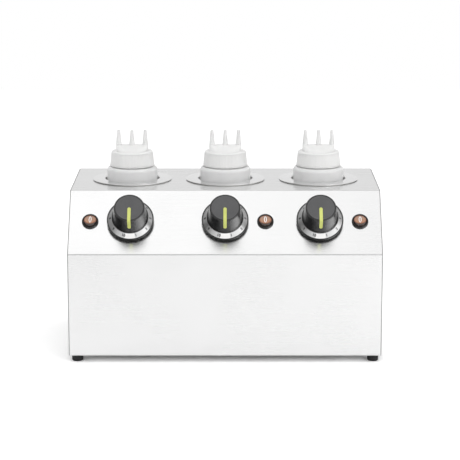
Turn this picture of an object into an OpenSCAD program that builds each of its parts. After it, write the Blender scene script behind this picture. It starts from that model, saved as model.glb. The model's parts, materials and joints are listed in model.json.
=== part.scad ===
// Countertop topping warmer: a stainless cabinet with heated wells, each with a squeeze bottle,
// a thermostat knob and a round rocker switch. Millimetres. X runs right, Y back and Z up.

/* [Cabinet] */
// Width of the cabinet
body_w = 430; // [400:1:520]
// Depth of the cabinet, from its front face to its back face
body_d = 238; // [225:1:280]
// Height of the cabinet above its feet
body_h = 219.4; // [195:0.2:240]
// Height of the upright front face, up to the fold
front_h = 143.5; // [125:0.5:150]
// Distance that the sloping control panel runs back
panel_run = 67.5; // [60:0.5:75]
// Thickness of the stainless sheet
sheet_t = 1.0; // [0.8:0.1:1.5]
// Outside radius of the bends in the sheet
bend_r = 3; // [2:0.5:5]
// Width of the flanges turned in under the base
base_flange_w = 24; // [20:1:32]
// Width of the flanges that join the side panels to the wrapper
side_flange_w = 10; // [6:1:14]
// Width of the flange at the top of the back panel
back_flange_w = 12; // [8:1:18]
// Gap left between one sheet and the next
seam = 0.15; // [0.1:0.05:0.3]

/* [Feet and base] */
// Diameter of a rubber foot
foot_d = 16; // [14:1:20]
// Height of a rubber foot
foot_h = 9; // [5:0.5:12]
// Distance of a foot's centre in from the side of the cabinet
foot_in_x = 11; // [11:0.5:18]
// Distance of a foot's centre in from the front and back faces
foot_in_y = 13; // [11:0.5:15]
// Upturned edge of the base plate
base_edge_h = 12; // [8:1:20]
// Number of ventilation slots in a row
vent_n = 12; // [6:1:14]
// Length of a ventilation slot
vent_l = 36; // [20:1:45]
// Width of a ventilation slot
vent_w = 4; // [3:0.5:6]

/* [Wells] */
// Distance of an end well's middle in from the side of the cabinet
well_in_x = 82; // [78:0.5:86]
// Depth of a well below the top plate
well_depth = 130; // [110:1:140]
// Inside radius of a well
well_r = 38.7; // [38:0.1:41]
// Radius of the flange round a well
well_flange_r = 56.4; // [52:0.2:60]
// Height that the flange rises from its edge to the mouth of the well
well_flange_rise = 0.8; // [0.2:0.1:2]
// Wall of a well
well_t = 1.0; // [0.8:0.1:1.5]
// Thickness of the seal under the flange
seal_t = 0.8; // [0.5:0.1:1.5]

/* [Heaters] */
// Height of a band heater
band_h = 50; // [35:1:60]
// Thickness of a band heater
band_t = 3.2; // [2.4:0.1:4]
// Gap between the two ends of a band
band_gap = 8; // [6:0.5:12]
// Length of the sensing bulb
bulb_l = 60; // [45:1:65]
// Radius of the sensing bulb
bulb_r = 3.2; // [2.5:0.1:4]
// Radius of the capillary tube
capillary_r = 1.0; // [0.8:0.1:1.4]

/* [Knobs] */
// Distance of the knobs and switches up the slope from the fold
control_s = 51.6; // [48:0.1:54]
// Gap between the panel and the dial
dial_gap = 4.6; // [4:0.1:5.2]
// Radius of the black dial
dial_r = 32.2; // [30.8:0.1:34]
// Radius of the outer edge of the number ring
ring_r = 30.4; // [29.4:0.1:30.6]
// Thickness of the number ring
ring_t = 0.8; // [0.5:0.1:1.2]
// Radius of the foot of the grip
knob_foot_r = 25.1; // [24:0.1:26.5]
// Radius of the grip at its top
knob_r = 21.0; // [19:0.1:22.5]
// Height of the grip's top above the panel
knob_h = 38.5; // [34:0.5:41]
// Width of the pointer
pointer_w = 4.5; // [3:0.1:6]
// Height that the pointer stands proud of the grip
pointer_proud = 0.4; // [0.2:0.05:0.8]
// Radius of the thermostat's shaft
shaft_r = 3.0; // [2.5:0.1:3.5]

/* [Switches] */
// Distance of an end switch's middle in from the side of the cabinet
switch_in_x = 29.7; // [25:0.1:33]
// Distance from a knob's centre to its switch
switch_dx = 55.3; // [52:0.1:58]
// Radius of a switch's bezel
bezel_r = 11.4; // [10.8:0.1:12.5]
// Height of a switch's bezel
bezel_h = 2.8; // [2.2:0.1:3.4]
// Radius of the hole for a switch
switch_hole_r = 10.1; // [9.9:0.1:10.4]
// Angle of the rocker at each end of its travel
rocker_tilt = 10; // [6:0.5:11]
// Depth of a switch behind the panel
switch_depth = 20; // [16:0.5:26]

/* [Bottles] */
// Outside radius of a bottle
bottle_r = 35.8; // [34:0.1:37]
// Wall of a bottle
bottle_t = 1.2; // [0.8:0.1:1.8]
// Height of the bottle's shoulder above the top plate
shoulder_z = 19.4; // [16:0.2:24]
// Radius of the shoulder's curve
shoulder_r = 5; // [3:0.2:6]
// Outside radius of the bottle's neck
neck_r = 27.6; // [26:0.1:28]
// Radius of the cap at its lower edge
cap_r = 31.5; // [31:0.1:33]
// Radius of the cap at its top
cap_top_r = 29.6; // [29.4:0.1:31]
// Height of the cap's wall
cap_h = 20.9; // [17:0.1:25]
// Number of ribs round the cap
rib_n = 90; // [60:2:110]
// Depth of a rib
rib_d = 0.35; // [0.2:0.05:0.5]
// Distance from one nozzle to the next
nozzle_pitch = 18.8; // [14:0.2:19]
// Height of the ridge under the nozzles
ridge_h = 8.3; // [5:0.1:12]
// Length of a nozzle above the ridge
nozzle_l = 21.4; // [15:0.2:30]
// Radius of a nozzle at the ridge
nozzle_r = 4.2; // [3.5:0.1:4.6]
// Radius of a nozzle at its tip
nozzle_tip_r = 2.1; // [1.8:0.1:2.6]

/* [Cable gland] */
// Radius of the gland's bore
gland_bore_r = 4.1; // [3:0.1:5]
// Radius of the gland's thread
gland_thread_r = 8; // [7:0.1:9]
// Distance that the gland stands out from the back
gland_out = 18; // [14:0.5:24]
// Distance of the gland in from the side of the cabinet
gland_in_x = 55; // [35:1:100]
// Height of the gland above the cabinet's underside
gland_z = 42; // [36:1:60]

/* [Hidden] */
$fn = 72;
WELLS = [1, 2, 3];

STEEL = "#c9cbcc";
BLACK = "#1c1c1e";
RUBBER = "#242424";
ZINC = "#b4b8bc";
BRASS = "#b8964e";
CERAMIC = "#e6e2d6";
LDPE = [0.93, 0.93, 0.92, 0.9];
ARC_STEPS = 6;

// Cabinet levels and places
panel_rise = body_h - front_h;
panel_angle = atan2(panel_rise, panel_run);
step_out = 0.8; // a hole's clearance round what passes through it
well_pitch = body_w / 2 - well_in_x;
knob_pitch = body_w / 2 - switch_in_x - switch_dx;
gland_x = body_w / 2 - gland_in_x;
base_z = foot_h;
top_z = base_z + body_h;
panel_w = body_w - 2 * (sheet_t + seam);
plate_z = base_z + sheet_t + seam;
plate_top = plate_z + sheet_t;
edge_top = plate_z + base_edge_h;
screw_r = 2;
screw_hole_r = 2.2;
screw_head_r = 4;
nut_r = 4.04;
nut_h = 3.2;
thread_gap = 0.05;
BASE_SCREW_X = [-well_pitch, 0, well_pitch];

// Knob levels, measured out from the panel
dial_rim = 1.8;
ring_rise = 5.2;
ring_z0 = dial_gap + dial_rim;
ring_z1 = ring_z0 + ring_rise;
seat_gap = 0.05;
land_z0 = ring_z0 - ring_t - seat_gap;
land_z1 = ring_z1 - ring_t - seat_gap;
foot_top = ring_z1 + 2;
foot_step = 0.8;
knob_edge = 1.9;
knob_wall = 2.2;
knob_roof = 4;
hub_r = 6.5;
face_r = knob_r - 2.4;
face_t = 1.2;
pointer_sunk = 0.7;
pointer_end = foot_top + 8.8;
shaft_top = knob_h - 8.5;
shaft_flat = 0.6;
shaft_foot = 13.5;
flat_from = 8;

// Thermostat, behind the panel
therm_plate = [50, 30, 1];
therm_body_w = 30;
therm_body_h = 22;
therm_cup_r = 12;
therm_cup_h = 5;
therm_bush_r = 4.6;
therm_bush_out = 1.2;
therm_screw_x = 20;
therm_screw_r = 1.9;
therm_head_r = 3.2;
therm_head_h = 1.6;
therm_back = sheet_t + therm_plate[2] + therm_body_h + therm_cup_h;

// Switch
pivot_z = 1.05;
rocker_r = bezel_r - 3;
rocker_face = 2.6;
rocker_below = 4;
ball_r = norm([rocker_r, rocker_face]);
ball_gap = 0.2;
bore_r = ball_r + ball_gap;
bore_floor = 6;
barrel_r = switch_hole_r - 0.2;
barrel_h = switch_depth - 6;
pin_r = 0.9;
pin_gap = 0.1;
pin_reach = bore_r + 0.9;
SWITCH_SIDE = [-1, 1, 1];

// Wells and heaters
well_y_in = (panel_run + body_d) / 2;
well_out_r = well_r + well_t;
well_hole_r = well_out_r + step_out;
well_corner = 6;
mouth_r = 1.6;
band_low = 12;
band_z = -well_depth + band_low;
band_in_r = well_out_r + 0.1;
band_out_r = band_in_r + band_t;
ear_t = 1.5;
ear_h = 16;
ear_l = 10;
bulb_gap = 0.1;
bulb_z = top_z - well_depth - well_t - bulb_gap - bulb_r;
clip_l = 10;
clip_t = 0.8;
capillary_steps = 8;
capillary_bend = 9;
capillary_drop = 10;

// Bottle and cap, measured up from the top plate
bottle_gap = 0.3;
bottle_z = bottle_gap - well_depth;
bottle_foot_r = 3;
bottle_dish = 1.6;
bottle_dish_in = 8;
bottle_rest_in = 6;
neck_t = 1.5;
cap_gap = 0.2;
cap_z = shoulder_z + 1.4;
cap_top = cap_z + cap_h;
cap_roof = 1.6;
cap_round = 2.6;
bead_h = 1.6;
neck_top = cap_top - cap_roof - 0.3;
ridge_r = nozzle_pitch + nozzle_r;
ridge_wall = 1.5;
nozzle_wall = 1.0;
ridge_top = cap_top + ridge_h;
nozzle_top = ridge_top + nozzle_l;

// Gland
gland_hex_h = 5;
gland_in = 12;
gland_nut_h = 4;

// How far the knobs reach in front of the front face, which centres the part on its own depth
grip_reach = [for (p = grip_skin(pointer_proud, pointer_end))
    p[0] * cos(panel_angle) + p[1] * sin(panel_angle)];
knob_reach = max(grip_reach) - control_s * cos(panel_angle);
front_y = knob_reach - (knob_reach + body_d + gland_out) / 2;
back_y = front_y + body_d;
well_y = front_y + well_y_in;
control_y = front_y + control_s * cos(panel_angle);
control_z = base_z + front_h + control_s * sin(panel_angle);
CORNERS = [[0, 0], [0, front_h], [panel_run, body_h], [body_d, body_h], [body_d, 0]];

// The wrapper's section, whose top runs over the back panel and stops at its outer face
wrap_past = 2 * bend_r;
WRAP_CORNERS = [[0, 0], [0, front_h], [panel_run, body_h],
    [body_d + wrap_past, body_h], [body_d + wrap_past, 0]];

// The back panel's section, under the wrapper's top
back_h = body_h - sheet_t - seam;
back_from = body_d - 2 * base_flange_w;
BACK_CORNERS = [[back_from, 0], [back_from, back_h], [body_d, back_h], [body_d, 0]];
back_flange_x = body_w / 2 - sheet_t - side_flange_w - 0.5;

// Feet, supply and push-on tabs
foot_bore = 3.4;
foot_bore_r = screw_head_r + 0.3;
block_size = [52, 20, 17];
block_in = 36;
block_x = gland_x - 55;
stud_r = 2.5;
tab_w = 6.3;
tab_l = 9;
tab_t = 0.8;

// ---- Functions ----

function well_x(i) = (i - 2) * well_pitch;
function knob_x(i) = (i - 2) * knob_pitch;
function switch_x(i) = knob_x(i) + SWITCH_SIDE[i - 1] * switch_dx;
function unit(v) = v / norm(v);
function after(p, i) = p[(i + 1) % len(p)];
function before(p, i) = p[(i + len(p) - 1) % len(p)];

// Corner b of the path a, b, c moved inwards by d
function inset_corner(a, b, c, d) =
    let (u = unit(a - b), v = unit(c - b))
    b + unit(u + v) * d / sin(acos(u * v) / 2);
function inset(p, d) = [for (i = [0 : len(p) - 1]) inset_corner(before(p, i), p[i], after(p, i), d)];

// Arc of radius r in place of corner b of the path a, b, c
function fillet(a, b, c, r) =
    let (u = unit(a - b), v = unit(c - b), half = acos(u * v) / 2,
         mid = b + unit(u + v) * r / sin(half),
         from = b + u * r / tan(half) - mid, to = b + v * r / tan(half) - mid,
         turn = atan2(cross(from, to), from * to))
    [for (k = [0 : ARC_STEPS]) let (t = turn * k / ARC_STEPS)
        mid + [from[0] * cos(t) - from[1] * sin(t), from[0] * sin(t) + from[1] * cos(t)]];
function rounded(p, r) = [for (i = [0 : len(p) - 1]) each fillet(before(p, i), p[i], after(p, i), r)];
function arc(mid, r, a0, a1) =
    [for (k = [0 : ARC_STEPS]) let (t = a0 + (a1 - a0) * k / ARC_STEPS) mid + r * [cos(t), sin(t)]];
function box_points(w, h) = [[-w / 2, -h / 2], [w / 2, -h / 2], [w / 2, h / 2], [-w / 2, h / 2]];

// Radius of the grip's cone at height z, and the grip's outline from its face down its side,
// moved out by d
function grip_r(z) = knob_r + (knob_foot_r - foot_step - knob_r)
    * (knob_h - knob_edge - z) / (knob_h - knob_edge - foot_top - foot_step / 2);
function grip_skin(d, z) = [[0, knob_h + d], [knob_r - 1.1, knob_h + d],
    [knob_r + d, knob_h - knob_edge + 0.3], [grip_r(z) + d, z]];

// A point of the section plane through a knob's axis: a is up the slope and b out from the panel
function panel_point(a, b) = [control_y + a * cos(panel_angle) - b * sin(panel_angle),
    control_z + a * sin(panel_angle) + b * cos(panel_angle)];

// ---- Helpers ----

// The cabinet's section, d inside its outer face
module section(d) {
    polygon(rounded(inset(CORNERS, d), max(bend_r - d, 0.3)));
}

// A closed outline one sheet thick, bent at its corners
module bent_sheet(corners) {
    difference() {
        polygon(rounded(corners, bend_r));
        polygon(rounded(inset(corners, sheet_t), bend_r - sheet_t));
    }
}

// Extrudes a section along X from x
module across(x, w) {
    translate([x, front_y, base_z]) rotate([90, 0, 90]) linear_extrude(w) children();
}

// Local axes on the panel at x: X right, Y up the slope and Z out of the panel
module on_panel(x) {
    translate([x, control_y, control_z]) rotate([panel_angle, 0, 0]) children();
}

// Local axes on the top plate, at well i
module on_well(i) {
    translate([well_x(i), well_y, top_z]) children();
}

// Local axes on the back, Z out of it
module on_back() {
    translate([gland_x, back_y, base_z + gland_z]) rotate([-90, 0, 0]) children();
}

module at_feet() {
    for (x = [-1, 1], y = [front_y + foot_in_y, back_y - foot_in_y])
        translate([x * (body_w / 2 - foot_in_x), y, 0]) children();
}

module at_base_screws() {
    flange_mid = (bend_r + base_flange_w) / 2;
    for (x = BASE_SCREW_X, y = [front_y + flange_mid, back_y - flange_mid])
        translate([x, y, 0]) children();
}

module tube(r_in, r_out, h) {
    difference() {
        cylinder(r = r_out, h = h);
        translate([0, 0, -1]) cylinder(r = r_in, h = h + 2);
    }
}

// Pan-head screw whose head's seat is at z = 0, with its shank up to z = l
module screw(r, head_r, head_h, l) {
    translate([0, 0, -head_h]) cylinder(r1 = head_r * 0.8, r2 = head_r, h = head_h / 2);
    translate([0, 0, -head_h / 2]) cylinder(r = head_r, h = head_h / 2);
    translate([0, 0, -head_h / 4]) cylinder(r = r, h = l + head_h / 4);
}

module hex_nut(r, hole_r, h) {
    difference() {
        cylinder(r = r, h = h, $fn = 6);
        translate([0, 0, -1]) cylinder(r = hole_r, h = h + 2);
    }
}

// ---- Cabinet ----

module base_holes() {
    at_base_screws() translate([0, 0, base_z - 1]) cylinder(r = screw_hole_r, h = 6);
    at_feet() translate([0, 0, base_z - 1]) cylinder(r = screw_hole_r, h = 6);
}

module wrapper_shell() color(STEEL) {
    difference() {
        across(-panel_w / 2, panel_w) difference() {
            bent_sheet(WRAP_CORNERS);
            translate([base_flange_w, -1]) square([body_d + wrap_past, sheet_t + 2]);
            translate([body_d, -1]) square([wrap_past + 1, body_h + 2]);
        }
        for (i = WELLS) {
            on_well(i) translate([0, 0, -3]) cylinder(r = well_hole_r, h = 6);
            on_panel(knob_x(i)) translate([0, 0, -3]) {
                cylinder(r = therm_bush_r + 0.3, h = 6);
                for (s = [-1, 1]) translate([s * therm_screw_x, 0, 0])
                    cylinder(r = therm_screw_r + 0.3, h = 6);
            }
            on_panel(switch_x(i)) translate([0, 0, -3]) cylinder(r = switch_hole_r, h = 6);
        }
        base_holes();
    }
}

// A sheet with a flange under the base and, between the side panels' flanges, one under the top
module back_panel() color(STEEL) {
    difference() {
        across(-panel_w / 2, panel_w) difference() {
            bent_sheet(BACK_CORNERS);
            translate([back_from - 1, -1]) square([base_flange_w + 1, body_h]);
            translate([back_from - 1, back_h / 2]) square([2 * base_flange_w + 1 - back_flange_w, back_h]);
        }
        for (s = [-1, 1]) translate([s * (back_flange_x + 10) - 10, back_y - 40, base_z + back_h - bend_r])
            cube([20, 50, bend_r + 1]);
        on_back() translate([0, 0, -3]) cylinder(r = gland_thread_r + 0.2, h = 6);
        base_holes();
    }
}

module side_panel() {
    inner = body_w / 2 - sheet_t;
    across(inner, sheet_t) section(0);
    across(inner - side_flange_w, side_flange_w + sheet_t / 2) difference() {
        section(sheet_t + seam);
        section(2 * sheet_t + seam);
        translate([-1, -1]) square([body_d + 2, edge_top - base_z + seam + 1]);
    }
}

module side_panel_left() color(STEEL) mirror([1, 0, 0]) side_panel();

module side_panel_right() color(STEEL) side_panel();

module base_plate() color(STEEL) {
    in = bend_r + seam;
    vent_in = 66;
    vent_pitch = 28;
    difference() {
        translate([-panel_w / 2, front_y + in, plate_z]) {
            cube([panel_w, body_d - 2 * in, sheet_t]);
            for (x = [0, panel_w - sheet_t]) translate([x, 0, 0])
                cube([sheet_t, body_d - 2 * in, base_edge_h]);
        }
        for (k = [0 : vent_n - 1], y = [front_y + vent_in, back_y - vent_in])
            translate([(k - (vent_n - 1) / 2) * vent_pitch, y, plate_z - 1]) {
                translate([-vent_w / 2, -vent_l / 2, 0]) cube([vent_w, vent_l, 4]);
                for (s = [-1, 1]) translate([0, s * vent_l / 2, 0]) cylinder(r = vent_w / 2, h = 4);
            }
        base_holes();
    }
}

module base_screws() color(ZINC) at_base_screws() {
    translate([0, 0, base_z]) screw(screw_r, screw_head_r, 2.4, sheet_t * 2 + seam + nut_h + 2);
    translate([0, 0, plate_top]) hex_nut(nut_r, screw_r + thread_gap, nut_h);
}

module feet() color(RUBBER) at_feet() rotate_extrude() polygon(concat(
    [[screw_hole_r, foot_bore], [foot_bore_r, foot_bore], [foot_bore_r, 0]],
    arc([foot_d / 2 - 1.8, 1.4], 1.4, -90, 0),
    [[foot_d / 2, foot_h], [screw_hole_r, foot_h]]));

module foot_screws() color(ZINC) at_feet() {
    translate([0, 0, foot_bore])
        screw(screw_r, screw_head_r, 2.4, plate_top - foot_bore + nut_h + 2);
    translate([0, 0, plate_top]) hex_nut(nut_r, screw_r + thread_gap, nut_h);
}

// ---- Supply ----

module cable_gland() color(BLACK) on_back() difference() {
    union() {
        cylinder(r = gland_thread_r + 3.5, h = gland_hex_h, $fn = 6);
        translate([0, 0, gland_hex_h]) cylinder(r = gland_thread_r + 1.2, h = gland_out - gland_hex_h - 4);
        translate([0, 0, gland_out - 4])
            cylinder(r1 = gland_thread_r + 1.2, r2 = gland_bore_r + 1.8, h = 4);
        translate([0, 0, -gland_in]) cylinder(r = gland_thread_r, h = gland_in + 1);
    }
    translate([0, 0, -gland_in - 1]) cylinder(r = gland_bore_r, h = gland_in + gland_out + 2);
}

module gland_nut() color(BLACK) on_back() translate([0, 0, -sheet_t - gland_nut_h])
    hex_nut(gland_thread_r + 3.5, gland_thread_r + thread_gap, gland_nut_h);

module terminal_block() color(CERAMIC)
    translate([block_x - block_size[0] / 2, back_y - block_in - block_size[1] / 2, plate_top])
        difference() {
            cube(block_size);
            for (k = [0 : 3]) translate([block_size[0] * (k + 0.5) / 4, 0, 0]) {
                for (y = [5, block_size[1] - 5]) translate([0, y, block_size[2] - 7])
                    cylinder(r = 2.4, h = 8);
                translate([0, -1, 6]) rotate([-90, 0, 0]) cylinder(r = 2.2, h = block_size[1] + 2);
            }
            for (k = [1 : 3]) translate([block_size[0] * k / 4 - 0.6, -1, 9])
                cube([1.2, block_size[1] + 2, 9]);
        }

module earth_stud() color(BRASS) translate([gland_x, back_y - block_in, plate_top]) {
    cylinder(r = stud_r, h = 16);
    tube(stud_r + thread_gap, 5, 1);
    translate([0, 0, 1 + thread_gap]) hex_nut(4.6, stud_r + thread_gap, 4);
}

// ---- Wells ----

module well(i) color(STEEL) on_well(i) {
    edge_z = seal_t;
    mouth_z = seal_t + well_t + well_flange_rise;
    rotate_extrude() polygon(concat(
        [[0, -well_depth - well_t]],
        arc([well_out_r - well_corner, -well_depth - well_t + well_corner], well_corner, -90, 0),
        [[well_out_r, edge_z + well_flange_rise - 1], [well_hole_r + 0.6, edge_z + well_flange_rise],
         [well_flange_r - 2, edge_z]],
        arc([well_flange_r - well_t / 2, edge_z + well_t / 2], well_t / 2, -90, 90),
        arc([well_r + mouth_r, mouth_z - mouth_r], mouth_r, 90, 180),
        arc([well_r - well_corner + well_t, -well_depth + well_corner - well_t],
            well_corner - well_t, 0, -90),
        [[0, -well_depth]]));
}

module well_seal(i) color(BLACK) on_well(i) tube(well_hole_r + 1, well_flange_r - 2, seal_t);

module band_heater(i) color(ZINC) on_well(i) translate([0, 0, band_z]) difference() {
    union() {
        difference() {
            tube(band_in_r, band_out_r, band_h);
            translate([-band_gap / 2, 0, -1]) cube([band_gap, band_out_r + 1, band_h + 2]);
        }
        for (s = [-1, 1]) translate([s * (band_gap + ear_t) / 2 - ear_t / 2, band_in_r + band_t / 2,
                                     (band_h - ear_h) / 2])
            cube([ear_t, ear_l + band_t / 2, ear_h]);
        for (s = [-1, 1]) translate([s * 12 - tab_w / 2, -band_out_r - tab_l + 2, band_h - 6])
            cube([tab_w, tab_l, tab_t]);
    }
    translate([-20, band_out_r + ear_l / 2, band_h / 2]) rotate([0, 90, 0])
        cylinder(r = screw_hole_r, h = 40);
}

module heater_clamp_bolts() color(ZINC) for (i = WELLS)
    on_well(i) translate([-band_gap / 2 - ear_t, band_out_r + ear_l / 2, band_z + band_h / 2])
        rotate([0, 90, 0]) {
            grip = band_gap + 2 * ear_t;
            screw(screw_r, screw_head_r - 0.4, 2.4, grip + nut_h + 2);
            translate([0, 0, grip]) hex_nut(nut_r, screw_r + thread_gap, nut_h);
        }

// ---- Thermostats ----

module thermostat(i) color(ZINC) on_panel(knob_x(i)) difference() {
    union() {
        translate([0, 0, -sheet_t - therm_plate[2]]) {
            translate([-therm_plate[0] / 2, -therm_plate[1] / 2, 0]) cube(therm_plate);
            cylinder(r = therm_bush_r, h = therm_plate[2] + sheet_t + therm_bush_out);
        }
        translate([0, 0, -sheet_t - therm_plate[2] - therm_body_h]) {
            linear_extrude(therm_body_h) polygon(rounded(box_points(therm_body_w, therm_body_w), 4));
            translate([0, 0, -therm_cup_h])
                cylinder(r1 = therm_cup_r - 2, r2 = therm_cup_r, h = therm_cup_h);
        }
        for (s = [-1, 1]) translate([s * 8 - tab_w / 2, therm_body_w / 2 - 1, -therm_body_h])
            cube([tab_w, tab_l, tab_t]);
    }
    translate([0, 0, -shaft_foot - 0.5]) cylinder(r = shaft_r + seat_gap, h = shaft_foot + 4);
    for (s = [-1, 1]) translate([s * therm_screw_x, 0, -6]) cylinder(r = therm_screw_r + thread_gap, h = 6);
}

module thermostat_screws() color(ZINC) for (i = WELLS, s = [-1, 1])
    on_panel(knob_x(i)) translate([s * therm_screw_x, 0, 0]) mirror([0, 0, 1])
        screw(therm_screw_r, therm_head_r, therm_head_h, sheet_t + therm_plate[2] + 3);

module thermostat_shaft(i) color(ZINC) on_panel(knob_x(i)) d_shaft(shaft_r, -shaft_foot, shaft_top);

module d_shaft(r, z0, z1) {
    difference() {
        translate([0, 0, z0]) cylinder(r = r, h = z1 - z0);
        translate([-r - 1, r - shaft_flat, flat_from]) cube([2 * r + 2, r, z1 - flat_from + 1]);
    }
}

// Rings of a tube of radius r along a path in the YZ plane, swept as one solid
module plane_tube(path, r, n) {
    last = len(path) - 1;
    heading = [for (i = [0 : last]) unit(path[min(i + 1, last)] - path[max(i - 1, 0)])];
    points = [for (i = [0 : last], k = [0 : n - 1]) let (a = 360 * k / n, t = heading[i])
        [r * cos(a), path[i][0] - t[1] * r * sin(a), path[i][1] + t[0] * r * sin(a)]];
    walls = [for (i = [0 : last - 1], k = [0 : n - 1])
        [i * n + k, i * n + (k + 1) % n, (i + 1) * n + (k + 1) % n, (i + 1) * n + k]];
    polyhedron(points, concat([[for (k = [n - 1 : -1 : 0]) k], [for (k = [0 : n - 1]) last * n + k]], walls));
}

module sensing_bulb(i) color(BRASS) translate([knob_x(i), 0, 0]) {
    start = panel_point(0, -therm_back - 0.1);
    turn = panel_point(0, -therm_back - capillary_drop);
    front = well_y - bulb_l / 2;
    low = [turn[0], bulb_z];
    end = [front + 2, bulb_z];
    plane_tube(concat([start], fillet(start, turn, low, capillary_bend),
        fillet(turn, low, end, capillary_bend), [end]), capillary_r, capillary_steps);
    translate([0, front, bulb_z]) rotate([-90, 0, 0]) {
        cylinder(r1 = capillary_r + 0.4, r2 = bulb_r, h = 3);
        translate([0, 0, 3]) cylinder(r = bulb_r, h = bulb_l - 4);
        translate([0, 0, bulb_l - 1]) cylinder(r1 = bulb_r, r2 = bulb_r - 1, h = 1);
    }
}

module bulb_clips() color(STEEL) for (i = WELLS)
    translate([knob_x(i), well_y - clip_l / 2, bulb_z]) rotate([-90, 0, 0]) {
        reach = bulb_r + bulb_gap;
        difference() {
            union() {
                cylinder(r = reach + clip_t, h = clip_l);
                translate([-reach - clip_t, -reach, 0]) cube([2 * (reach + clip_t), reach, clip_l]);
                translate([-reach - 7, -reach, 0]) cube([2 * (reach + 7), clip_t, clip_l]);
            }
            translate([0, 0, -1]) cylinder(r = reach, h = clip_l + 2);
            translate([-reach, -reach - 1, -1]) cube([2 * reach, reach + 1, clip_l + 2]);
        }
    }

// ---- Knobs ----

// A bar over the face and down the side of the grip, sunk by q and proud by p
module pointer_bar(w, p, q, z) {
    intersection() {
        rotate_extrude() polygon(concat(grip_skin(p, z), [[grip_r(z) - q, z],
            [knob_r - q, knob_h - knob_edge], [knob_r - q - 0.8, knob_h - q], [0, knob_h - q]]));
        linear_extrude(knob_h + 5) {
            translate([0, -pointer_w / 2]) circle(w / 2);
            translate([-w / 2, -pointer_w / 2 - 2 * knob_foot_r]) square([w, 2 * knob_foot_r]);
        }
        translate([0, w, 0]) rotate([90, 0, 0]) linear_extrude(3 * knob_foot_r) {
            translate([0, z + w / 2]) circle(w / 2);
            translate([-w / 2, z + w / 2]) square([w, knob_h]);
        }
    }
}

module pointer_groove() {
    pointer_bar(pointer_w + 2 * seat_gap, 2, pointer_sunk + seat_gap, pointer_end - seat_gap);
}

module knob(i) color(BLACK) on_panel(knob_x(i)) difference() {
    rotate_extrude() polygon(concat(
        [[0, dial_gap], [dial_r - 0.3, dial_gap], [dial_r, dial_gap + 0.4], [dial_r, ring_z0 - 0.3],
         [dial_r - 0.3, ring_z0], [ring_r + seat_gap, ring_z0], [ring_r + seat_gap, land_z0],
         [knob_foot_r, land_z1], [knob_foot_r, foot_top],
         [knob_foot_r - foot_step, foot_top + foot_step / 2], [knob_r, knob_h - knob_edge]],
        arc([knob_r - 1.4, knob_h - 1.4], 1.4, 0, 90),
        [[face_r + seat_gap, knob_h], [face_r + seat_gap, knob_h - face_t - seat_gap],
         [0, knob_h - face_t - seat_gap]]));
    rotate_extrude() polygon([[hub_r, dial_gap - 1], [dial_r - knob_wall, dial_gap - 1],
        [dial_r - knob_wall, dial_gap + 0.1], [knob_foot_r - knob_wall, land_z1 - 1.4],
        [knob_foot_r - knob_wall, foot_top], [knob_r - knob_wall, knob_h - knob_roof],
        [hub_r, knob_h - knob_roof]]);
    d_shaft(shaft_r + seat_gap, dial_gap - 1, shaft_top + 0.4);
    pointer_groove();
}

module knob_face(i) color("#6f6f72") on_panel(knob_x(i)) difference() {
    translate([0, 0, knob_h - face_t]) cylinder(r = face_r, h = face_t - 0.1);
    pointer_groove();
}

module knob_pointer(i) color("#d3da70") on_panel(knob_x(i))
    pointer_bar(pointer_w, pointer_proud, pointer_sunk, pointer_end);

module dial_ring(i) color("#c4c5c6") on_panel(knob_x(i)) rotate_extrude() polygon(
    [[ring_r, ring_z0 - ring_t], [ring_r, ring_z0], [knob_foot_r + seat_gap, ring_z1],
     [knob_foot_r + seat_gap, ring_z1 - ring_t]]);

// ---- Switches ----

module switch_body(i) color(BLACK) on_panel(switch_x(i)) {
    difference() {
        union() {
            rotate_extrude() polygon(concat([[0, 0], [bezel_r - 0.2, 0], [bezel_r, 0.2]],
                arc([bezel_r - 1.8, bezel_h - 1.8], 1.8, 0, 90),
                [[bore_r + 0.6, bezel_h], [0, bezel_h]]));
            translate([0, 0, -barrel_h]) cylinder(r = barrel_r, h = barrel_h + 1);
            translate([-8, -6, -switch_depth]) cube([16, 12, switch_depth - barrel_h + 1]);
        }
        translate([0, 0, -bore_floor]) cylinder(r = bore_r, h = bore_floor + bezel_h + 1);
        translate([0, 0, bezel_h - 0.5]) cylinder(r1 = bore_r - 0.01, r2 = bore_r + 0.6, h = 0.6);
        translate([-pin_reach - 0.1, 0, pivot_z]) rotate([0, 90, 0])
            cylinder(r = pin_r + pin_gap, h = 2 * pin_reach + 0.2);
    }
    for (x = [-5.5, 0, 5.5]) translate([x - 0.4, -2.4, -switch_depth - 8]) cube([0.8, 4.8, 9]);
}

module switch_rocker(i) color("#a85a2c") on_panel(switch_x(i))
    translate([0, 0, pivot_z]) rotate([-rocker_tilt, 0, 0]) {
        intersection() {
            sphere(ball_r);
            translate([-ball_r, -ball_r, -rocker_below])
                cube([2 * ball_r, 2 * ball_r, rocker_below + rocker_face]);
        }
        for (s = [-1, 1]) rotate([0, s * 90, 0]) cylinder(r = pin_r, h = pin_reach);
    }

// ---- Bottles ----

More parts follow.
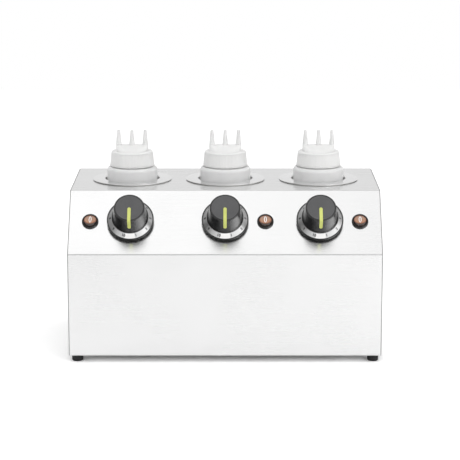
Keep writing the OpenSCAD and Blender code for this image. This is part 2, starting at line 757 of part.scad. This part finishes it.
module bottle(i) color(LDPE) on_well(i) rotate_extrude() polygon(concat(
    [[0, bottle_z + bottle_dish], [bottle_r - bottle_dish_in, bottle_z + bottle_dish],
     [bottle_r - bottle_rest_in, bottle_z]],
    arc([bottle_r - bottle_foot_r, bottle_z + bottle_foot_r], bottle_foot_r, -90, 0),
    arc([bottle_r - shoulder_r, shoulder_z - shoulder_r], shoulder_r, 0, 90),
    [[neck_r, shoulder_z], [neck_r, neck_top], [neck_r - neck_t, neck_top],
     [neck_r - neck_t, shoulder_z - bottle_t]],
    arc([bottle_r - shoulder_r, shoulder_z - shoulder_r], shoulder_r - bottle_t, 90, 0),
    arc([bottle_r - bottle_foot_r, bottle_z + bottle_foot_r], bottle_foot_r - bottle_t, 0, -90),
    [[bottle_r - bottle_rest_in, bottle_z + bottle_t],
     [bottle_r - bottle_dish_in, bottle_z + bottle_dish + bottle_t],
     [0, bottle_z + bottle_dish + bottle_t]]));

// The ridge under the nozzles: a round foot of radius r drawn up to a bar of half-width w
module ridge(r, w, z0, z1) {
    hull() {
        translate([0, 0, z0]) cylinder(r = r, h = 0.2, $fn = 48);
        for (s = [-1, 1]) translate([s * nozzle_pitch, 0, z1 - 0.2]) cylinder(r = w, h = 0.2, $fn = 24);
    }
}

module cap_ribs() {
    z0 = cap_z + bead_h;
    h = cap_h - bead_h - cap_round;
    top_r = cap_top_r + 0.1;
    translate([0, 0, z0]) linear_extrude(h, scale = top_r / cap_r)
        polygon([for (k = [0 : 2 * rib_n - 1]) let (a = 180 * k / rib_n)
            (cap_r - rib_d * (k % 2)) * [cos(a), sin(a)]]);
}

module bottle_cap(i) color(LDPE) on_well(i) difference() {
    union() {
        rotate_extrude() polygon(concat(
            [[0, cap_z], [cap_r, cap_z], [cap_r + 0.2, cap_z + 0.4], [cap_r + 0.2, cap_z + bead_h - 0.3],
             [cap_r - rib_d - 0.2, cap_z + bead_h], [cap_top_r - rib_d - 0.2, cap_top - cap_round]],
            arc([cap_top_r - cap_round, cap_top - cap_round], cap_round, 8, 90), [[0, cap_top]]));
        cap_ribs();
        ridge(ridge_r, nozzle_r, cap_top - 0.5, ridge_top);
        for (k = [-1 : 1]) translate([k * nozzle_pitch, 0, ridge_top - 0.4])
            cylinder(r1 = nozzle_r, r2 = nozzle_tip_r, h = nozzle_l + 0.4);
    }
    translate([0, 0, cap_z - 1]) cylinder(r = neck_r + cap_gap, h = cap_h - cap_roof + 1);
    ridge(ridge_r - ridge_wall, nozzle_r - ridge_wall, cap_top - cap_roof - 0.5, ridge_top - ridge_wall);
    for (k = [-1 : 1]) translate([k * nozzle_pitch, 0, ridge_top - ridge_wall - 0.3])
        cylinder(r1 = nozzle_r - nozzle_wall - 0.3, r2 = nozzle_tip_r - nozzle_wall,
                 h = nozzle_l + ridge_wall + 0.4);
}

// ---- Nodes ----

wrapper_shell();
back_panel();
side_panel_left();
side_panel_right();
base_plate();
base_screws();
feet();
foot_screws();
cable_gland();
gland_nut();
terminal_block();
earth_stud();
thermostat_screws();
heater_clamp_bolts();
bulb_clips();
for (i = WELLS) {
    well(i);
    well_seal(i);
    band_heater(i);
    thermostat(i);
    sensing_bulb(i);
    switch_body(i);
    switch_rocker(i);
    thermostat_shaft(i);
    knob(i);
    knob_face(i);
    knob_pointer(i);
    dial_ring(i);
    bottle(i);
    bottle_cap(i);
}
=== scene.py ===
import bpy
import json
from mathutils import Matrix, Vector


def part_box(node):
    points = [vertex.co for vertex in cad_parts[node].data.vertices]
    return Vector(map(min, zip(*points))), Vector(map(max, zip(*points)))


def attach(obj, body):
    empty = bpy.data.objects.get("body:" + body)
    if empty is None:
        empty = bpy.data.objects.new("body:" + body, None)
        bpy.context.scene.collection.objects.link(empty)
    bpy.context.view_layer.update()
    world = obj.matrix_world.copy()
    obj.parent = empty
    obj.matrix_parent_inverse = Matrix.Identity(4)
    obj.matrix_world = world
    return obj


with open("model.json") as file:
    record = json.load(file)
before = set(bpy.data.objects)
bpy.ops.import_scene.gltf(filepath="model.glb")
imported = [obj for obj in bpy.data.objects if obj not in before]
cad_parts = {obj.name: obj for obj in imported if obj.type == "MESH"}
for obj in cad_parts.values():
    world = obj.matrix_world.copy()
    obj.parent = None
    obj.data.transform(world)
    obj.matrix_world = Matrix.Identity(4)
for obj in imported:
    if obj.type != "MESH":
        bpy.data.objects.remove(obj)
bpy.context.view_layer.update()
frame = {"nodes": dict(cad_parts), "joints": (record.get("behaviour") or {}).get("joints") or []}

import json
import math

import bpy
from mathutils import Matrix, Vector

MM = 0.001
WELLS = (1, 2, 3)
NODES = frame["nodes"]


# ---- Places, read off the frame ----

JOINTS = {j["name"]: j for j in frame["joints"]}
FRONT_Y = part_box("wrapper_shell")[0].y
KNOB_AXIS = JOINTS["knob_turn_2"]["axis"]
PANEL_TILT = Matrix.Rotation(math.atan2(KNOB_AXIS[1], -KNOB_AXIS[2]), 4, "X")


def at_joint(name):
    """Local axes at a joint of the panel: X right, Y up the slope and Z out of the panel."""
    return Matrix.Translation(JOINTS[name]["pos_m"]) @ PANEL_TILT


# ---- Materials ----

def feed(tree, value, socket):
    """Sets a socket to a number or a colour, or links it to another node's output."""
    if isinstance(value, (int, float, tuple)):
        socket.default_value = value
    else:
        tree.links.new(value, socket)


def math_node(tree, operation, a, b=None):
    """The output of a new math node, fed with numbers or other nodes' outputs."""
    n = tree.nodes.new("ShaderNodeMath")
    n.operation = operation
    feed(tree, a, n.inputs[0])
    if b is not None:
        feed(tree, b, n.inputs[1])
    return n.outputs[0]


def lin(r, g=None, b=None):
    """Linear colour from 0-255 sRGB values."""
    g = r if g is None else g
    b = r if b is None else b

    def one(v):
        v /= 255
        return v / 12.92 if v <= 0.04045 else ((v + 0.055) / 1.055) ** 2.4
    return (one(r), one(g), one(b), 1.0)


class Look:
    """A material on one Principled shader, with procedural detail in object coordinates."""

    def __init__(self, name, **sockets):
        self.mat = bpy.data.materials.new(name)
        self.mat.use_nodes = True
        self.tree = self.mat.node_tree
        self.shader = self.tree.nodes["Principled BSDF"]
        self.place = self.tree.nodes.new("ShaderNodeTexCoord").outputs["Object"]
        for key, value in sockets.items():
            self.shader.inputs[key.replace("_", " ")].default_value = value

    def node(self, kind, **props):
        n = self.tree.nodes.new("ShaderNode" + kind)
        for key, value in props.items():
            setattr(n, key, value)
        return n

    def plug(self, source, target):
        self.tree.links.new(source, target)

    def math(self, operation, a, b=None):
        return math_node(self.tree, operation, a, b)

    def noise(self, stretch, detail=2.0, roughness=0.5, distortion=0.0):
        """Noise with so many features a metre: one number, or one for each axis."""
        mapping = self.node("Mapping")
        stretch = stretch if isinstance(stretch, tuple) else (stretch,) * 3
        mapping.inputs["Scale"].default_value = stretch
        self.plug(self.place, mapping.inputs["Vector"])
        n = self.node("TexNoise")
        n.inputs["Scale"].default_value = 1.0
        n.inputs["Detail"].default_value = detail
        n.inputs["Roughness"].default_value = roughness
        n.inputs["Distortion"].default_value = distortion
        self.plug(mapping.outputs[0], n.inputs["Vector"])
        return n.outputs["Fac"]

    def span(self, fac, low, high, start=0.3, end=0.7):
        """Goes from low to high while fac goes from start to end."""
        n = self.node("MapRange", clamp=True)
        for socket, value in zip(n.inputs[1:5], (start, end, low, high)):
            socket.default_value = value
        self.plug(fac, n.inputs[0])
        return n.outputs[0]

    def blend(self, fac, a, b):
        """Colour a where fac is 0, and b where it is 1."""
        n = self.node("Mix", data_type="RGBA", blend_type="MIX")
        for socket, value in ((n.inputs[0], fac), (n.inputs[6], a), (n.inputs[7], b)):
            feed(self.tree, value, socket)
        return n.outputs[2]

    def facing(self, axis):
        """How nearly the surface faces along an axis of its object, from 0 to 1."""
        parts = self.node("SeparateXYZ")
        self.plug(self.node("TexCoord").outputs["Normal"], parts.inputs[0])
        return self.math("ABSOLUTE", parts.outputs[axis])

    def fed_by(self, name):
        """The output that feeds one of the shader's sockets."""
        return self.shader.inputs[name].links[0].from_socket

    def rough_where(self, fac, value):
        """Brings the roughness to value where fac is 1."""
        n = self.node("Mix", data_type="FLOAT")
        self.plug(fac, n.inputs[0])
        self.plug(self.fed_by("Roughness"), n.inputs[2])
        n.inputs[3].default_value = value
        self.rough(n.outputs[0])

    def color(self, source):
        self.plug(source, self.shader.inputs["Base Color"])

    def rough(self, source):
        self.plug(source, self.shader.inputs["Roughness"])

    def bump(self, height, depth):
        """Bump whose full height is depth, over any that is there."""
        n = self.node("Bump")
        n.inputs["Strength"].default_value = 1.0
        n.inputs["Distance"].default_value = depth
        self.plug(height, n.inputs["Height"])
        last = self.shader.inputs["Normal"].links
        if last:
            self.plug(last[0].from_socket, n.inputs["Normal"])
        self.plug(n.outputs[0], self.shader.inputs["Normal"])


GRAIN_DEPTH, SPUN_DEPTH = 3e-6, 2e-6
EDGE_ROUGH = 0.55


def brushed(name, grain, low, high, shade):
    """Stainless sheet with its grain along one axis, which blurs what it mirrors across the
    grain."""
    look = Look(name, Metallic=1.0, Anisotropic=0.65, Anisotropic_Rotation=0.25)
    along = look.node("CombineXYZ")
    for socket, axis in zip(along.inputs, "XYZ"):
        socket.default_value = 1.0 if axis == grain else 0.02
    look.plug(along.outputs[0], look.shader.inputs["Tangent"])
    fine = tuple(28.0 if axis == grain else 2600.0 for axis in "XYZ")
    broad = tuple(3.0 if axis == grain else 240.0 for axis in "XYZ")
    streaks = look.noise(fine, detail=3.0, roughness=0.6)
    bands = look.noise(broad, detail=2.0)
    smudges = look.noise(9.0, detail=4.0, roughness=0.55, distortion=0.4)
    grainy = look.math("ADD", look.math("MULTIPLY", streaks, 0.6),
                       look.math("MULTIPLY", bands, 0.4))
    pale, dark = shade
    look.color(look.blend(look.span(grainy, 0.0, 1.0, 0.35, 0.65), lin(dark), lin(pale)))
    look.rough(look.math("ADD", look.span(grainy, low, high), look.span(smudges, -0.02, 0.035)))
    look.bump(streaks, GRAIN_DEPTH)
    return look


def cut_edges(look, axis, shade):
    """The sheared edges of a sheet, whose faces look along one axis, are duller than its faces."""
    edge = look.span(look.facing(axis), 1.0, 0.0, 0.5, 0.8)
    look.color(look.blend(edge, look.fed_by("Base Color"), lin(shade)))
    look.rough_where(edge, EDGE_ROUGH)
    return look


def spun(name, shade, low, high):
    """Turned or drawn metal with the fine level marks of its making."""
    look = Look(name, Metallic=1.0)
    marks = look.noise((420.0, 420.0, 2400.0), detail=3.0)
    haze = look.noise(35.0, detail=3.0)
    look.color(look.blend(look.span(marks, 0.0, 1.0), lin(*shade[0]), lin(*shade[1])))
    look.rough(look.math("ADD", look.span(marks, low, high), look.span(haze, -0.01, 0.03)))
    look.bump(marks, SPUN_DEPTH)
    return look


def dulled_inside(look, rough, metallic):
    """The upright wall of a well, which food and water have dulled; its flange keeps its polish."""
    wall = look.span(look.facing("Z"), 1.0, 0.0, 0.2, 0.6)
    look.rough_where(wall, rough)
    dulled = look.math("SUBTRACT", 1.0, look.math("MULTIPLY", wall, 1.0 - metallic))
    look.plug(dulled, look.shader.inputs["Metallic"])
    return look


def moulded(name, dark, pale, low, high, texture=900.0, depth=2.5e-5, **sockets):
    """Moulded plastic or rubber with a fine surface texture and slight mottling."""
    look = Look(name, **sockets)
    grain = look.noise(texture, detail=2.0)
    mottle = look.noise(60.0, detail=3.0)
    look.color(look.blend(look.span(mottle, 0.0, 1.0), lin(*dark), lin(*pale)))
    look.rough(look.math("ADD", look.span(grain, low, high), look.span(mottle, -0.03, 0.03)))
    look.bump(grain, depth)
    return look


def polyethylene(name, pale, shade, low, high, **sockets):
    """Milky squeeze-bottle plastic: a translucent wall with flow marks of the moulding."""
    look = Look(name, **sockets)
    flow = look.noise((70.0, 70.0, 18.0), detail=3.0, distortion=0.6)
    grain = look.noise(1400.0, detail=2.0)
    look.color(look.blend(look.span(flow, 0.0, 1.0), lin(*shade), lin(*pale)))
    look.rough(look.math("ADD", look.span(flow, low, high), look.span(grain, -0.02, 0.02)))
    look.bump(flow, 6e-5)
    look.bump(grain, 6e-6)
    return look


MILKY = {"IOR": 1.51, "Subsurface_Weight": 1.0, "Subsurface_Radius": (1.0, 1.0, 1.0),
         "Subsurface_Scale": 0.003}
LOOKS = {
    "shell": brushed("steel_brushed_across", "X", 0.22, 0.27, shade=(243, 238)),
    "side": cut_edges(brushed("steel_brushed_along", "Y", 0.22, 0.27, shade=(243, 238)), "X", 176),
    "base": brushed("steel_base", "X", 0.34, 0.44, shade=(214, 204)),
    "well": dulled_inside(spun("steel_polished", ((226,), (238,)), 0.08, 0.14), 0.42, 0.7),
    "zinc": spun("zinc_plated", ((186, 188, 192), (206, 207, 208)), 0.22, 0.34),
    "heater": spun("heater_steel", ((160, 152, 140), (188, 182, 172)), 0.26, 0.40),
    "copper": spun("copper_drawn", ((196, 132, 96), (214, 156, 118)), 0.20, 0.32),
    "brass": spun("brass_turned", ((196, 164, 92), (214, 186, 116)), 0.18, 0.30),
    "rubber": moulded("rubber", (15, 15, 16), (23, 23, 24), 0.62, 0.78, texture=1500.0, depth=4e-5),
    "silicone": moulded("silicone", (186, 184, 180), (200, 198, 194), 0.45, 0.55),
    "nylon": moulded("nylon", (26, 26, 28), (34, 34, 36), 0.42, 0.52),
    "ceramic": moulded("ceramic", (214, 208, 194), (228, 223, 211), 0.35, 0.5, texture=600.0),
    "bezel": moulded("bezel_black", (22, 20, 19), (30, 28, 27), 0.18, 0.26, depth=4e-6),
    "knob": moulded("knob_black", (11, 11, 12), (16, 16, 17), 0.17, 0.22, texture=1300.0,
                    depth=6e-6, IOR=1.65),
    "face": moulded("knob_face_grey", (74, 74, 75), (82, 82, 83), 0.42, 0.52, texture=1600.0,
                    depth=1.5e-5),
    "pointer": moulded("pointer_paint", (188, 194, 102), (202, 209, 116), 0.38, 0.48,
                       texture=1000.0, depth=6e-6),
    "print_black": moulded("print_black", (16, 16, 17), (26, 26, 27), 0.55, 0.65),
    "print_white": moulded("print_white", (234, 233, 232), (244, 243, 242), 0.4, 0.5),
    "bottle": polyethylene("ldpe_bottle", (249, 249, 248), (245, 245, 244), 0.34, 0.42,
                           Transmission_Weight=0.15, **MILKY),
    "cap": polyethylene("ldpe_cap", (239, 239, 238), (234, 234, 233), 0.30, 0.38,
                        Transmission_Weight=0.1, **MILKY),
}


def ring_look():
    """Spun silver of the ring that carries the dial's printed numbers."""
    look = Look("dial_silver", Metallic=1.0)
    spins = look.noise(1500.0, detail=2.0)
    wear = look.noise(120.0, detail=3.0)
    look.color(look.blend(look.span(spins, 0.0, 1.0), lin(196), lin(212)))
    look.rough(look.math("ADD", look.span(spins, 0.28, 0.36), look.span(wear, -0.03, 0.03)))
    look.bump(spins, 4e-6)
    return look


# The oval of a lens that is kept clear of its painted rim shade: half its width and height, and its
# middle's way up the slope from the hinge
LENS_HALF_WIDTH, LENS_HALF_HEIGHT, LENS_RISE = 7.4 * MM, 6.0 * MM, 1.4 * MM


def lens_look():
    """Amber cap of a rocker with faint ribs. A painted highlight makes it paler towards its top,
    and painted shade darkens its rim from deep amber to dark brown, most of all at its bottom.
    """
    look = Look("lens_amber", IOR=1.5, Transmission_Weight=0.1,
                Coat_Weight=0.6, Coat_Roughness=0.12)
    ribs = look.noise((900.0, 60.0, 60.0), detail=1.0)
    parts = look.node("SeparateXYZ")
    look.plug(look.place, parts.inputs[0])
    across = None
    for i in WELLS:
        hinge = JOINTS[f"switch_rock_{i}"]["pos_m"]
        off = look.math("ABSOLUTE", look.math("SUBTRACT", parts.outputs[0], hinge[0]))
        across = look.math("MINIMUM", across, off) if across else off
    up_slope = PANEL_TILT @ Vector((0, 1, 0))
    middle = up_slope.dot(Vector(JOINTS["switch_rock_2"]["pos_m"])) + LENS_RISE
    rise = look.node("VectorMath", operation="DOT_PRODUCT")
    look.plug(look.place, rise.inputs[0])
    rise.inputs[1].default_value = up_slope
    rise = look.math("SUBTRACT", rise.outputs["Value"], middle)
    wide = look.math("DIVIDE", across, LENS_HALF_WIDTH)
    high = look.math("ABSOLUTE", look.math("DIVIDE", rise, LENS_HALF_HEIGHT))
    out = look.math("ADD", look.math("POWER", wide, 2.0), look.math("POWER", high, 2.0))
    low = look.blend(look.span(ribs, 0.0, 1.0), lin(174, 118, 84), lin(188, 138, 104))
    # Painted highlight: the amber grows paler towards the top of the lens
    face_with_painted_highlight = look.blend(look.span(rise, 0.0, 1.0, -5 * MM, 5 * MM), low, lin(164, 132, 112))
    # Painted shade at the rim, from deep amber to dark brown outside the lens's clear oval
    painted_rim_shade = look.blend(look.span(out, 0.0, 1.0, 1.1, 1.6), lin(134, 74, 40), lin(60, 45, 38))
    look.color(look.blend(look.span(out, 0.0, 1.0, 0.8, 1.15), face_with_painted_highlight, painted_rim_shade))
    look.rough(look.span(ribs, 0.10, 0.18))
    return look


LOOKS["ring"] = ring_look()
LOOKS["lens"] = lens_look()

NODE_LOOKS = {
    "wrapper_shell": "shell", "back_panel": "shell", "side_panel": "side", "base_plate": "base",
    "base_screws": "zinc", "feet": "rubber", "foot_screws": "zinc",
    "cable_gland": "nylon", "gland_nut": "nylon",
    "terminal_block": "ceramic", "earth_stud": "brass", "thermostat_screws": "zinc",
    "heater_clamp_bolts": "zinc", "bulb_clips": "well", "well_seal": "silicone", "well": "well",
    "band_heater": "heater", "thermostat_shaft": "zinc", "thermostat": "zinc",
    "sensing_bulb": "copper", "switch_body": "bezel", "switch_rocker": "lens",
    "knob_face": "face", "knob_pointer": "pointer", "knob": "knob", "dial_ring": "ring",
    "bottle_cap": "cap", "bottle": "bottle",
}

for name, obj in NODES.items():
    stem = max((s for s in NODE_LOOKS if name.startswith(s)), key=len)
    obj.data.materials.clear()
    obj.data.materials.append(LOOKS[NODE_LOOKS[stem]].mat)


# ---- Printed marks ----

# Dial: the height of its numbers, what is added to their strokes, their places round the ring in
# degrees, and how far the print stands off the ring
NUMBER_SIZE, NUMBER_SWELL = 5.2 * MM, 0.2 * MM
NUMBER_FIRST, NUMBER_STEP, NUMBER_COUNT = 18, 36, 10
PRINT_LIFT, OFF_LIFT = 0.07 * MM, 0.035 * MM
# The pale off sector: half its angle, its gap to the ring's edges and the quads it is made of
OFF_ANGLE, OFF_MARGIN, OFF_STEPS = math.radians(14), 0.15 * MM, 16
# The rocker at rest leans back by this angle. In millimetres from its hinge: how far up its oval
# "0" sits, how far out the lens is and how far the "0" stands off it, and half the width and
# height of the "0" at its outer and its inner edge
ROCKER_TILT = math.radians(10)
MARK_RISE, LENS_FACE, MARK_LIFT = 1.1, 2.6, 0.05
MARK_OVALS, MARK_STEPS = ((1.95, 5.3), (0.95, 4.3)), 40


def flat_mesh(text):
    """Filled outline of a number, as a mesh in its own plane, centred on its origin."""
    curve = bpy.data.curves.new("number", "FONT")
    curve.body = text
    curve.size = NUMBER_SIZE
    curve.align_x = "CENTER"
    curve.align_y = "CENTER"
    curve.resolution_u = 4
    curve.offset = NUMBER_SWELL
    holder = bpy.data.objects.new("number", curve)
    bpy.context.scene.collection.objects.link(holder)
    bpy.context.view_layer.update()
    graph = bpy.context.evaluated_depsgraph_get()
    source = holder.evaluated_get(graph)
    shape = source.to_mesh()
    points = [v.co.copy() for v in shape.vertices]
    faces = [tuple(p.vertices) for p in shape.polygons]
    source.to_mesh_clear()
    bpy.data.objects.remove(holder)
    bpy.data.curves.remove(curve)
    return points, faces


def add_piece(name, points, faces, look, body):
    mesh = bpy.data.meshes.new(name)
    mesh.from_pydata(points, [], faces)
    mesh.validate()
    mesh.update()
    mesh.materials.append(LOOKS[look].mat)
    piece = bpy.data.objects.new(name, mesh)
    bpy.context.scene.collection.objects.link(piece)
    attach(piece, body)


def ring_edges():
    """The number ring's face is a cone: its (radius, height) at the outer and the inner edge."""
    back = at_joint("knob_turn_2").inverted()
    points = [back @ v.co for v in NODES["dial_ring_2"].data.vertices]
    rims = [Vector((math.hypot(p.x, p.y), p.z)) for p in points]
    wide, narrow = max(r.x for r in rims), min(r.x for r in rims)
    near = 0.05 * MM
    outer = max((r for r in rims if r.x > wide - near), key=lambda r: r.y)
    inner = max((r for r in rims if r.x < narrow + near), key=lambda r: r.y)
    return outer, inner


RING_OUT, RING_IN = ring_edges()


def ring_point(place, middle, p, lift=PRINT_LIFT):
    """A point of the print, drawn upright at the ring's lowest point and turned round by middle."""
    along = RING_IN - RING_OUT
    outward = Vector((-along.y, along.x)).normalized()
    if outward.x < 0:
        outward = -outward
    q = (RING_IN + RING_OUT) / 2 + along.normalized() * p.y + outward * lift
    a = middle + p.x / q.x
    return place @ Vector((q.x * math.sin(a), -q.x * math.cos(a), q.y))


OFF_HALF = (RING_IN - RING_OUT).length / 2 - OFF_MARGIN
for i in WELLS:
    place = at_joint(f"knob_turn_{i}")
    points = [ring_point(place, OFF_ANGLE * (2 * k / OFF_STEPS - 1), Vector((0, y)), OFF_LIFT)
              for k in range(OFF_STEPS + 1) for y in (-OFF_HALF, OFF_HALF)]
    faces = [(2 * k, 2 * k + 2, 2 * k + 3, 2 * k + 1) for k in range(OFF_STEPS)]
    add_piece(f"dial_off_{i}", points, faces, "print_white", f"dial_{i}")

for i in WELLS:
    points, faces = [], []
    for n in range(NUMBER_COUNT):
        shape, tris = flat_mesh(str(n + 1))
        start = len(points)
        turn = math.radians(NUMBER_FIRST + NUMBER_STEP * n)
        points += [ring_point(at_joint(f"knob_turn_{i}"), turn, p) for p in shape]
        faces += [tuple(start + k for k in f) for f in tris]
    add_piece(f"dial_numbers_{i}", points, faces, "print_black", f"dial_{i}")

for i in WELLS:
    place = at_joint(f"switch_rock_{i}") @ Matrix.Rotation(-ROCKER_TILT, 4, "X")
    points, faces = [], []
    for k in range(MARK_STEPS):
        a = 2 * math.pi * k / MARK_STEPS
        for w, h in MARK_OVALS:
            edge = Vector((w * math.cos(a), h * math.sin(a) + MARK_RISE, LENS_FACE + MARK_LIFT))
            points.append(place @ (edge * MM))
        after = (k + 1) % MARK_STEPS
        faces.append((2 * k, 2 * after, 2 * after + 1, 2 * k + 1))
    add_piece(f"switch_mark_{i}", points, faces, "print_white", f"rocker_{i}")


# ---- Studio ----

# Levels that polished metal mirrors, where 1 is white: the room in front (low, then higher up),
# its window, its screen (1 is black), the ceiling, the backdrop (low, then high) and the walls
FRONT_LOW, ROOM, WINDOW, SCREEN = 0.48, 0.3, 1.75, 1.0
CEILING, CEILING_RIGHT = 0.96, 0.64
BACK_LOW, BACK_HIGH = 0.86, 0.6
LEFT_WALL, RIGHT_WALL = 0.5, 0.75
# The plain light, and its share from behind
WORLD_LEVEL, BEHIND = 1.08, 0.75


def mix_world():
    """The camera sees white, metal and plastic mirror a studio, and the rest is plain light."""
    world = bpy.data.worlds.new("studio")
    bpy.context.scene.world = world
    world.use_nodes = True
    tree = world.node_tree
    tree.nodes.clear()
    new = tree.nodes.new
    link = tree.links.new

    def calc(operation, a, b):
        return math_node(tree, operation, a, b)

    def mix(fac, a, b):
        """a where fac is 0, and b where it is 1."""
        return calc("ADD", calc("MULTIPLY", a, calc("SUBTRACT", 1.0, fac)),
                    calc("MULTIPLY", b, fac))

    def span(value, start, end, low, high):
        n = new("ShaderNodeMapRange")
        n.interpolation_type = "SMOOTHSTEP"
        for socket, v in zip(n.inputs[1:5], (start, end, low, high)):
            socket.default_value = v
        link(value, n.inputs[0])
        return n.outputs[0]

    def window(across, up):
        """A wide pale window low at the front right."""
        side = calc("MULTIPLY", span(across, 0.05, 0.5, 0.0, 1.0), span(up, 0.3, 0.6, 1.0, 0.0))
        return calc("MULTIPLY", side, WINDOW)

    way = new("ShaderNodeSeparateXYZ")
    link(new("ShaderNodeTexCoord").outputs["Generated"], way.inputs[0])
    across, back, up = way.outputs
    # What polished metal and plastic mirror: a bright ceiling that dims to the right, a grey room
    # in front that is dark at its left and bright at its right, and the backdrop behind
    ceiling = span(across, -0.2, 0.25, CEILING, CEILING_RIGHT)
    high = span(up, 0.5, 0.75, 0.0, 1.0)
    room = calc("ADD", span(up, 0.15, 0.45, FRONT_LOW, ROOM), window(across, up))
    front_level = mix(high, room, ceiling)
    back_level = span(up, 0.25, 0.8, BACK_LOW, BACK_HIGH)
    behind = span(back, -0.2, 0.3, 0.0, 1.0)
    level = mix(behind, front_level, back_level)
    # A dark screen low at the front left, and walls that dim both sides
    screen = calc("MULTIPLY", span(across, -0.5, -0.08, 1.0, 0.0),
                  span(up, 0.5, 0.68, 1.0, 0.0))
    screen = calc("MULTIPLY", screen, span(across, -0.82, -0.7, 0.0, 1.0))
    screen = calc("MULTIPLY", screen, span(back, -0.3, 0.1, 1.0, 0.0))
    level = calc("MULTIPLY", level, calc("SUBTRACT", 1.0, calc("MULTIPLY", screen, SCREEN)))
    level = calc("MULTIPLY", level, span(across, -0.9, -0.3, LEFT_WALL, 1.0))
    level = calc("MULTIPLY", level, span(across, 0.4, 0.9, 1.0, RIGHT_WALL))

    rays = new("ShaderNodeLightPath")
    seen = calc("MAXIMUM", rays.outputs["Is Camera Ray"], rays.outputs["Is Transmission Ray"])
    mirrored = calc("MULTIPLY", rays.outputs["Is Glossy Ray"], calc("SUBTRACT", 1.0, seen))
    plain = calc("SUBTRACT", 1.0, calc("MAXIMUM", seen, mirrored))
    plain = calc("MULTIPLY", plain, span(back, -0.4, 0.8, 1.0, BEHIND))
    strength = calc("ADD", calc("ADD", seen, calc("MULTIPLY", mirrored, level)),
                    calc("MULTIPLY", plain, WORLD_LEVEL))
    background = new("ShaderNodeBackground")
    background.inputs["Color"].default_value = (1, 1, 1, 1)
    link(strength, background.inputs["Strength"])
    output = new("ShaderNodeOutputWorld")
    link(background.outputs[0], output.inputs["Surface"])


mix_world()


LAMP_AIM = (0, -0.05, 0.15)


def lamp(name, place, size, level):
    """A soft box whose face is level times as bright as white paper in plain light."""
    data = bpy.data.lights.new(name, "AREA")
    data.shape = "RECTANGLE"
    data.size, data.size_y = size
    data.energy = level * math.pi * size[0] * size[1]
    obj = bpy.data.objects.new(name, data)
    bpy.context.scene.collection.objects.link(obj)
    aim = Vector(LAMP_AIM) - Vector(place)
    turn = aim.to_track_quat("-Z", "Y").to_matrix().to_4x4()
    obj.matrix_world = Matrix.Translation(place) @ turn


lamp("top_box", (-0.1, -0.25, 1.8), (1.9, 1.5), 0.32)
lamp("right_box", (1.06, -1.27, 0.82), (1.0, 0.8), 1.8)


# The paper's own level, and what camera rays and mirrored or passed-on rays see on top of it
FLOOR_PAPER, FLOOR_GAIN, FLOOR_GLOSS = 0.9, 0.31, 0.08
FLOOR_REACH = 2.6


def floor():
    """Paper that the camera sees white where nothing shades it, and that metal, plastic and glass
    mirror and pass on nearly as white."""
    mesh = bpy.data.meshes.new("floor")
    r = FLOOR_REACH
    mesh.from_pydata([(-r, -r, 0), (r, -r, 0), (r, r, 0), (-r, r, 0)], [], [(0, 1, 2, 3)])
    plane = bpy.data.objects.new("floor", mesh)
    bpy.context.scene.collection.objects.link(plane)
    mat = bpy.data.materials.new("floor_paper")
    mat.use_nodes = True
    tree = mat.node_tree
    tree.nodes.clear()
    new, link = tree.nodes.new, tree.links.new

    def calc(operation, a, b):
        return math_node(tree, operation, a, b)

    rays = new("ShaderNodeLightPath")
    eye = rays.outputs["Is Camera Ray"]
    mirrored = calc("MAXIMUM", rays.outputs["Is Glossy Ray"], rays.outputs["Is Transmission Ray"])
    mirrored = calc("MULTIPLY", mirrored, calc("SUBTRACT", 1.0, eye))
    extra = calc("ADD", calc("MULTIPLY", eye, FLOOR_GAIN), calc("MULTIPLY", mirrored, FLOOR_GLOSS))
    paper = new("ShaderNodeBsdfDiffuse")
    link(calc("ADD", FLOOR_PAPER, extra), paper.inputs["Color"])
    link(paper.outputs[0], new("ShaderNodeOutputMaterial").inputs["Surface"])
    mesh.materials.append(mat)


floor()


# ---- Camera ----

# Sensor width and focal length in millimetres; its place right of the middle, before the front
# and above the top plate; and how many degrees it looks down
SENSOR, LENS = 36.0, 143.15
RIGHT, BEFORE, ABOVE = 6.7 * MM, 2423.44 * MM, 485.0 * MM
DOWN = 12.26

data = bpy.data.cameras.new("camera")
data.sensor_width = SENSOR
data.lens = LENS
camera = bpy.data.objects.new("camera", data)
bpy.context.scene.collection.objects.link(camera)
camera.location = (RIGHT, FRONT_Y - BEFORE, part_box("wrapper_shell")[1].z + ABOVE)
camera.rotation_euler = (math.radians(90 - DOWN), 0, 0)
bpy.context.scene.camera = camera
bpy.context.scene.view_settings.view_transform = "Standard"
